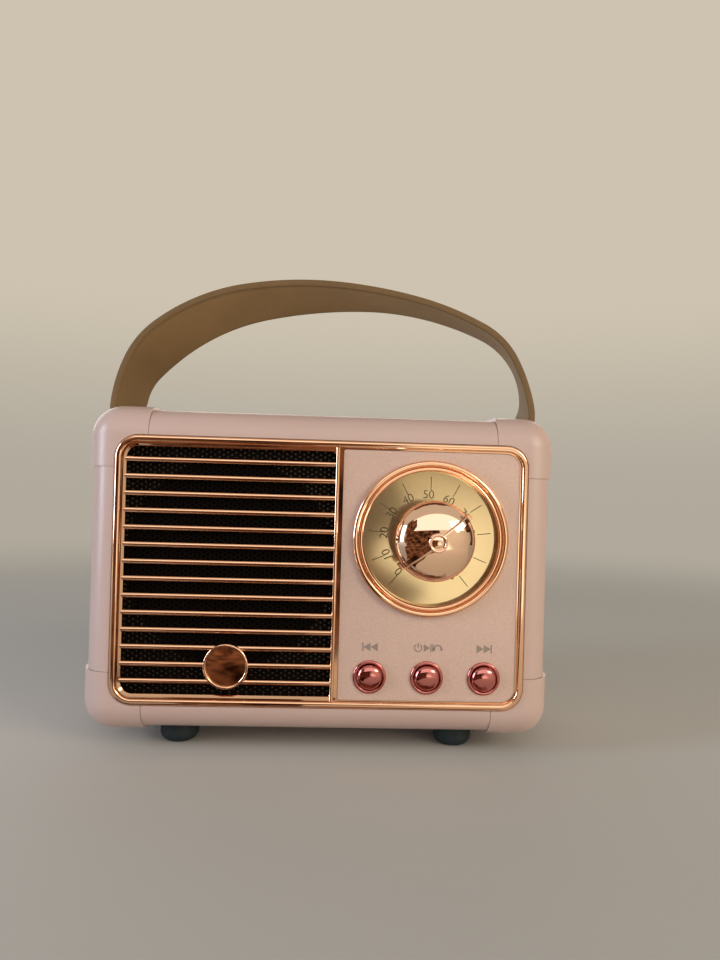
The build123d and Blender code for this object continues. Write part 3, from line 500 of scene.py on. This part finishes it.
def strap_section(rounding, rows):
    """A closed outline as (across, down) pairs: across runs from 0 at the front edge to the strap's width, down
    from 0 at the outer face to the thickness, with rounded corners."""
    corner = np.linspace(0, np.pi / 2, 5)
    flat = np.linspace(rounding, strap_width - rounding, rows)
    lead = rounding * (1 - np.cos(corner))
    sink = rounding * (1 - np.sin(corner))
    top = np.concatenate([np.stack([lead, sink], -1), np.stack([flat[1:-1], 0 * flat[1:-1]], -1)])
    top = np.concatenate([top, np.stack([strap_width - lead[::-1], sink[::-1]], -1)])
    under = np.stack([top[::-1, 0], strap_thickness - top[::-1, 1]], -1)
    return np.concatenate([top, under])


def strap_mesh():
    """The section carried along both edges: a point goes from the front line to the rear line by its share of
    the width, and inwards along the blended outward direction by its depth below the outer face. Both ends are
    closed. The rim is 1 at the cut edges and falls to 0 over the face within rim_reach roundings."""
    front, front_out = strap_line(front_bends)
    rear, rear_out = strap_line(rear_bends)
    section = strap_section(strap_rounding, 24)
    share = section[:, :1] / strap_width
    place = front[:, None] * (1 - share) + rear[:, None] * share
    out = front_out[:, None] * (1 - share) + rear_out[:, None] * share
    place = place - out * section[None, :, 1:2]
    across = np.broadcast_to(strap_low[1] + section[None, :, 0], place.shape[:2])
    points = np.stack([place[..., 0], across, place[..., 1]], -1)
    count, around = points.shape[:2]
    row = np.arange(count - 1)[:, None] * around
    ring = np.arange(around)
    after = (ring + 1) % around
    faces = np.stack([row + ring, row + around + ring, row + around + after, row + after], -1).reshape(-1, 4)
    side_row = np.arange(around // 2 - 1)
    cap = np.stack([side_row, side_row + 1, around - 2 - side_row, around - 1 - side_row], -1)
    faces = np.concatenate([faces, cap, (count - 1) * around + cap[:, ::-1]])
    to_edge = np.minimum(section[:, 0], strap_width - section[:, 0])
    rim = np.clip(rim_reach - to_edge / strap_rounding, 0, 1)
    return points.reshape(-1, 3), faces, np.tile(rim, count)


leather, hide, spot = start_finish("brown_leatherette", {"Sheen Weight": 0.05, "Sheen Roughness": 0.5})
nap = grain(spot, 1900.0, 5.0)
patch = grain(spot, 120.0, 3.0)
mixed = 0.55 * nap + 0.45 * patch
# The face is painted lighter towards the top of the arch.
lighter_top = spot.part("Z").rise(lighter_top_start, lighter_top_end)
lower_tone = mixed.between(tone(98, 74, 38), tone(134, 105, 60))
top_tone = mixed.between(tone(146, 117, 70), tone(190, 158, 104))
face = lighter_top.between(lower_tone, top_tone)
# Cut edges painted a little darker: partly edge paint, partly painted shade for edges that face the lamps.
edge = mixed.between(tone(92, 67, 35), tone(124, 95, 55))
cut = spot.node("ShaderNodeAttribute", {"attribute_name": "cut_edge"}, {}, "Fac")
cut.between(face, edge).feed(hide["Base Color"])
(0.62 + 0.25 * nap).feed(hide["Roughness"])
rough_skin(hide, nap, 0.5, 0.00012)
strap_points, strap_faces, strap_rim = strap_mesh()
strap_band = new_piece("strap_band", strap_points, strap_faces, "cabinet", leather)
strap_band.data.polygons.foreach_set("use_smooth", np.ones(len(strap_band.data.polygons), bool))
strap_band.data.attributes.new("cut_edge", "FLOAT", "POINT").data.foreach_set("value", strap_rim)
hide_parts("strap")

# Feet: round studs of moulded rubber, matt and slightly blue.
# Each has a spigot that is plugged into the underside of the housing. The speaker's surround is rubber too.
foot_rubber, rubber, spot = start_finish("foot_rubber", {"Specular IOR Level": 0.4})
grain(spot, 500.0).between(tone(20, 31, 35), tone(32, 44, 48)).feed(rubber["Base Color"])
(0.55 + 0.25 * grain(spot, 900.0)).feed(rubber["Roughness"])
rough_skin(rubber, grain(spot, 3000.0), 0.3, 0.00006)
feet = [f"foot_{end}_{side}" for end in ("front", "rear") for side in ("left", "right")]
wear(foot_rubber, *feet, "speaker_surround")

# Steel pieces: screws, clamps, shaft, nut, speaker frame and socket shells.
# They are pressed or turned, then zinc plated or nickelled, with a faint brushed grain.
zinc_steel, zinc, spot = start_finish("zinc_steel", {"Metallic": 1.0})
brushed = spot.node("ShaderNodeMapping", {}, {"Vector": spot, "Scale": (1.0, 1.0, 12.0)})
lines = grain(brushed, 700.0)
lines.between(tone(158, 158, 160), tone(192, 192, 194)).feed(zinc["Base Color"])
(0.28 + 0.2 * lines).feed(zinc["Roughness"])
wear(
    zinc_steel, "dial_shaft", "dial_nut", "dial_control", "speaker_basket", "speaker_top_plate", "speaker_yoke",
    "speaker_screws", "control_board_screws", "main_board_screws", "rear_cover_screws", "strap_screws",
    "strap_clamp_left", "strap_clamp_right", "usb_socket", "card_socket",
)

# Black plastic: the switches with their plungers, and the audio socket.
# They are moulded with a fine matt grain and soldered to the boards by their legs.
black_plastic, moulded, spot = start_finish("black_plastic", {"Roughness": 0.5})
grain(spot, 300.0).between(tone(20, 20, 21), tone(34, 34, 35)).feed(moulded["Base Color"])
rough_skin(moulded, grain(spot, 2500.0), 0.2, 0.00005)
wear(black_plastic, "aux_jack", *(f"{key}_switch" for key in keys), *(f"{key}_plunger" for key in keys))

# Circuit boards: glass-fibre laminate under green solder mask, with traces showing through it.
# The control board is screwed to posts behind the panel, and the main board to posts at the back.
solder_mask, mask, spot = start_finish("solder_mask", {"Roughness": 0.3, "Coat Weight": 0.4})
traces = spot.node("ShaderNodeTexBrick", {}, {"Vector": spot, "Scale": 260.0, "Mortar Size": 0.03}, "Fac")
traces.between(tone(28, 92, 58), tone(20, 68, 42)).feed(mask["Base Color"])
wear(solder_mask, "control_board", "main_board")

# Speaker motor and cone: ferrite ring, pressed paper cone and cap, woven spider and copper coil.
# The coil is wound on the cone's neck and runs in the gap of the magnet. The spider keeps it centred, and cone
# and spider are glued into the basket.
ferrite, sinter, spot = start_finish("ferrite", {"Roughness": 0.75})
grain(spot, 900.0).between(tone(52, 52, 54), tone(76, 76, 78)).feed(sinter["Base Color"])
rough_skin(sinter, grain(spot, 2000.0), 0.4, 0.0001)
wear(ferrite, "speaker_magnet")
cone_paper, pulp, spot = start_finish("cone_paper", {"Roughness": 0.85})
grain(spot, 1200.0, 5.0).between(tone(24, 23, 22), tone(46, 44, 42)).feed(pulp["Base Color"])
rough_skin(pulp, grain(spot, 1500.0, 5.0), 0.5, 0.0001)
wear(cone_paper, "speaker_cone", "dust_cap")
spider_cloth, weave, spot = start_finish("spider_cloth", {"Roughness": 0.9})
threads = spot.node("ShaderNodeTexChecker", {}, {"Vector": spot, "Scale": 1800.0}, "Fac")
threads.between(tone(170, 136, 72), tone(140, 108, 54)).feed(weave["Base Color"])
wear(spider_cloth, "speaker_spider")
coil_copper, wire, spot = start_finish("coil_copper", {"Metallic": 1.0, "Roughness": 0.35})
turns = spot.node("ShaderNodeTexWave", {"bands_direction": "Y"}, {"Vector": spot, "Scale": 2400.0})
turns.between(tone(150, 88, 52), tone(198, 122, 80)).feed(wire["Base Color"])
wear(coil_copper, "voice_coil")

# Battery cell in foil, with foam under it and round the speaker's rim.
# The pouch is bonded to its pad, and the gasket is squeezed between the basket and the front wall.
foil, pouch, spot = start_finish("cell_foil", {"Metallic": 0.9, "Roughness": 0.35})
grain(spot, 200.0).between(tone(170, 174, 182), tone(196, 200, 206)).feed(pouch["Base Color"])
rough_skin(pouch, grain(spot, 600.0), 0.3, 0.0002)
wear(foil, "battery")
foam, cells, spot = start_finish("foam", {"Roughness": 0.95})
pores = spot.node("ShaderNodeTexVoronoi", {}, {"Vector": spot, "Scale": 2200.0}, "Distance")
pores.between(tone(22, 22, 22), tone(58, 58, 58)).feed(cells["Base Color"])
rough_skin(cells, pores, 0.6, 0.0002)
wear(foam, "battery_pad", "speaker_gasket")

# Charge light: a red light pipe beside the charging socket.
# It is moulded in tinted clear plastic and pushed into its hole from inside.
red_lens, lens, spot = start_finish("red_lens", {"Roughness": 0.15})
grain(spot, 800.0).between(tone(190, 60, 44), tone(214, 84, 62)).feed(lens["Base Color"])
wear(red_lens, "charge_light")

# Studio: a pale round floor that curves up into a wall on all sides, open at the top to a soft sky.
# Near the object the floor takes light and shadow; further out, the camera and reflections see a painted glow
# in its place, greyer at the floor and paler up the wall.
floor_radius = 0.5
cove_radius = 1.3
wall_top = 2.2
shade_end = 0.22
glow_start = 0.6
pale_level = 0.5
pale_sky = tone(206, 195, 176)


def grid_mesh(places):
    """The points of a grid of places, row by row, and the four-sided faces between them."""
    rows, steps = places.shape[:2]
    row = np.arange(rows - 1)[:, None] * steps
    ring = np.arange(steps - 1)
    faces = np.stack([row + ring, row + steps + ring, row + steps + ring + 1, row + ring + 1], -1)
    return places.reshape(-1, 3), faces.reshape(-1, 4)


def spun_bowl(radius, height, steps):
    """A profile of radius and height carried once round the upright axis."""
    turn = np.linspace(0, 2 * np.pi, steps)
    around = [radius[:, None] * np.cos(turn), radius[:, None] * np.sin(turn), height[:, None] + 0 * turn]
    return grid_mesh(np.stack(around, -1))


def stage_piece(name, points, faces, finish):
    """A mesh object with smooth shading, for the stage."""
    piece = mesh_object(name, points, faces, finish)
    piece.data.polygons.foreach_set("use_smooth", np.ones(len(faces), bool))
    return piece


def seen_rays(start):
    """1 for what the camera, a reflection or a look through glass sees, and 0 for the light that falls on
    pieces: the three kinds of ray added up."""
    kinds = ("Camera", "Glossy", "Transmission")
    rays = [start.node("ShaderNodeLightPath", {}, {}, f"Is {kind} Ray") for kind in kinds]
    return rays[0] + rays[1] + rays[2]


def glow_over(finish, share, colour):
    """Lets an even glow of a colour take the place of a finish, by a share from 0 to 1."""
    made = finish.node_tree.nodes
    plain = Paint(finish.node_tree, made["Principled BSDF"].outputs[0])
    glow = share.node("ShaderNodeEmission", {}, {"Color": colour})
    mixed = share.node("ShaderNodeMixShader", {}, {0: share, 1: plain, 2: glow})
    mixed.feed(made["Material Output"].inputs["Surface"])


floor_rings = np.array([0, 0.15, 0.3])
cove = np.linspace(0, np.pi / 2, 24)
wall_radius = floor_radius + cove_radius
bowl_radius = np.concatenate([floor_rings, floor_radius + cove_radius * np.sin(cove), [wall_radius]])
bowl_height = np.concatenate([0 * floor_rings, cove_radius * (1 - np.cos(cove)), [wall_top]])
board_paint, board, spot = start_finish("studio_paint", {"Roughness": 0.9, "Specular IOR Level": 0.0})
grain(spot, 6.0).between(tone(186, 183, 177), tone(194, 191, 185)).feed(board["Base Color"])
reach = spot.node("ShaderNodeVectorMath", {"operation": "LENGTH"}, {0: spot}, "Value")
far = reach.rise(shade_end, glow_start, "SMOOTHSTEP")
high = spot.part("Z").rise(0.0, pale_level, "SMOOTHSTEP")
glow_over(board_paint, far * seen_rays(spot), high.between(tone(176, 169, 156), pale_sky))
stage_piece("studio_bowl", *spun_bowl(bowl_radius, bowl_height, 97), board_paint)

# Cards: a dark cloth and a glowing cloth spread on the floor before the object, a dark strip at its foot, and
# dark cards hung round it. Only reflections show them: they are painted reflections that give the plating the
# dark and bright sides that polished metal shows. The strip is a painted shadow at the object's foot, and the
# glowing cloth is painted light. The floor cloths' edges are angles in degrees by reach, with waves that keep
# them from being straight.
cloth_reach = np.linspace(0.045, 0.42, 48)
cloth_lift = 0.16 * np.clip((cloth_reach - 0.22) / 0.2, 0, 1) ** 2
outer = np.clip((cloth_reach - 0.05) / 0.1, 0, 1)
cloth_left = 230 - 10 * np.clip((cloth_reach - 0.1) / 0.1, 0, 1) + 5 * np.sin(34 * cloth_reach)
cloth_split = 268 + 12 * outer + 3 * np.sin(29 * cloth_reach + 2) + 2 * np.sin(83 * cloth_reach)
cloth_right = 350 + 6 * np.sin(21 * cloth_reach)
card_middle = Vector((0.0, -0.02, 0.05))
card_floor = 0.002
lit_edge = 0.11
lit_near = 0.17
lit_far = 0.29
lit_fade = 0.05
pale_reach = 0.3
strip_x = np.linspace(-0.055, 0.045, 40)
strip_back = 0.021
strip_front = 0.036 + 0.002 * np.sin(310 * strip_x) + 0.0015 * np.sin(760 * strip_x)


def spread_cloth(lift, left, right, steps):
    """A cloth on the floor: each row is an arc about the upright axis at its own reach and height, from its own
    left angle to its own right angle in degrees."""
    turn = np.radians(left[:, None] + (right - left)[:, None] * np.linspace(0, 1, steps))
    height = card_floor + lift[:, None] + 0 * turn
    reach = cloth_reach[:, None]
    return grid_mesh(np.stack([reach * np.cos(turn), reach * np.sin(turn), height], -1))


def foot_shadow_strip():
    """A dark strip on the floor along the foot of the front, a painted shadow of the object that only
    reflections
    see: the rows go evenly from a straight line under the front face to a wavy line before it."""
    depth = np.linspace(strip_back, strip_front, 5)
    across = np.broadcast_to(strip_x, depth.shape)
    return grid_mesh(np.stack([across, -depth, np.full(depth.shape, card_floor)], -1))


def hung_card(azimuth, elevation, half_width, half_height, distance):
    """A round card on a sphere about the object's front: a point lies at a share of the half sizes, in degrees,
    from the middle direction, and a wave of the angle round the card makes its rim uneven."""
    share, angle = np.meshgrid(np.linspace(0, 1, 8), np.linspace(0, 2 * np.pi, 49), indexing="ij")
    out = share * (1 + 0.16 * np.sin(3 * angle) + 0.09 * np.sin(7 * angle + 1))
    across = np.radians(azimuth + half_width * out * np.cos(angle))
    up = np.radians(elevation + half_height * out * np.sin(angle))
    way = np.stack([np.cos(up) * np.cos(across), np.cos(up) * np.sin(across), np.sin(up)], -1)
    return grid_mesh(np.array(card_middle) + distance * way)


dark_cloth, dark, spot = start_finish("dark_cloth", {"Roughness": 0.95, "Specular IOR Level": 0.0})
folds = grain(spot, 26.0, 4.0).rise(0.37, 0.65)
folds.between(tone(40, 22, 12), tone(168, 118, 86)).feed(dark["Base Color"])
glowing_cloth, white, spot = start_finish("glowing_cloth", {"Roughness": 0.95, "Emission Strength": 1.7})
grain(spot, 14.0).between(tone(52, 48, 42), tone(60, 56, 50)).feed(white["Base Color"])
# The cloth glows: painted light, a bright patch before the object and a dimmer pale elsewhere, by reach.
ahead = -1.0 * spot.part("Y")
lit = spot.part("X").rise(lit_edge + lit_fade, lit_edge, "SMOOTHSTEP")
lit = lit * ahead.rise(lit_near, lit_near + lit_fade, "SMOOTHSTEP")
lit = lit * ahead.rise(lit_far + lit_fade, lit_far, "SMOOTHSTEP")
pale = ahead.rise(0.0, pale_reach).between(tone(132, 122, 106), tone(182, 170, 148))
lit.between(pale, tone(255, 244, 222)).feed(white["Emission Color"])
cards = [
    ("dark_floor_cloth", spread_cloth(cloth_lift, cloth_left, cloth_split, 60), dark_cloth),
    ("glowing_floor_cloth", spread_cloth(cloth_lift, cloth_split, cloth_right, 40), glowing_cloth),
    ("painted_foot_shadow", foot_shadow_strip(), dark_cloth),
    ("left_card", hung_card(224, 21, 15, 20, 0.5), dark_cloth),
    ("rear_canopy", hung_card(90, 62, 70, 26, 0.6), dark_cloth),
    ("far_left_card", hung_card(172, 4, 10, 34, 0.4), dark_cloth),
    ("right_card", hung_card(-1, 4, 14, 36, 0.4), dark_cloth),
]
for name, shape, finish in cards:
    card = stage_piece(name, *shape, finish)
    card.visible_camera = False
    card.visible_diffuse = False
    card.visible_shadow = False

# Light: a soft even sky, a tall cool window on the left, a broad soft lamp over the camera, a low warm one on
# the right, and one behind.
world = bpy.data.worlds.new("soft_sky")
world.use_nodes = True
sky = Paint(world.node_tree)
seen = seen_rays(sky).between(tone(137, 134, 130), pale_sky)
seen.feed(world.node_tree.nodes["Background"].inputs["Color"])
bpy.context.scene.world = world
lamp_aim = Vector((0, 0, 0.05))


def soft_lamp(name, place, width, height, power, colour):
    """A rectangular soft lamp at a place, turned to the object's middle."""
    lamp = bpy.data.lights.new(name, "AREA")
    lamp.shape = "RECTANGLE"
    lamp.size = width
    lamp.size_y = height
    lamp.energy = power
    lamp.color = colour[:3]
    holder = bpy.data.objects.new(name, lamp)
    aim = lamp_aim - Vector(place)
    holder.matrix_world = Matrix.LocRotScale(Vector(place), aim.to_track_quat("-Z", "Y"), None)
    holder.visible_camera = False
    bpy.context.scene.collection.objects.link(holder)


soft_lamp("window", (-0.44, -0.16, 0.14), 0.12, 0.26, 1.3, tone(222, 234, 255))
soft_lamp("front", (0.12, -1.02, 0.64), 2.7, 0.9, 6.4, tone(255, 251, 246))
soft_lamp("fill", (0.57, -0.48, 0.25), 0.40, 0.45, 3.4, tone(255, 240, 214))
soft_lamp("rear", (-0.2, 0.95, 0.40), 1.6, 0.6, 5.0, tone(255, 250, 243))

# Camera: where the photograph was taken from, straight in front of the grille and a little above its middle.
# It looks about two degrees to the right and leans about two degrees to the left, as the photograph does.
eye = Vector((0.00132, -0.18047, 0.06191))
forward = Vector((0.04190, 0.99912, 0.00364)).normalized()
above = Vector((-0.02928, -0.00241, 0.99957)).normalized()
right = forward.cross(above).normalized()
above = right.cross(forward)
camera_data = bpy.data.cameras.new("photo_camera")
camera_data.sensor_width = 36.0
camera_data.lens = 27.04
camera_data.clip_start = 0.01
camera = bpy.data.objects.new("photo_camera", camera_data)
turned = Matrix((right, above, -forward)).transposed().to_4x4()
camera.matrix_world = Matrix.Translation(eye) @ turned
bpy.context.scene.collection.objects.link(camera)
bpy.context.scene.camera = camera
bpy.context.scene.view_settings.view_transform = "Standard"
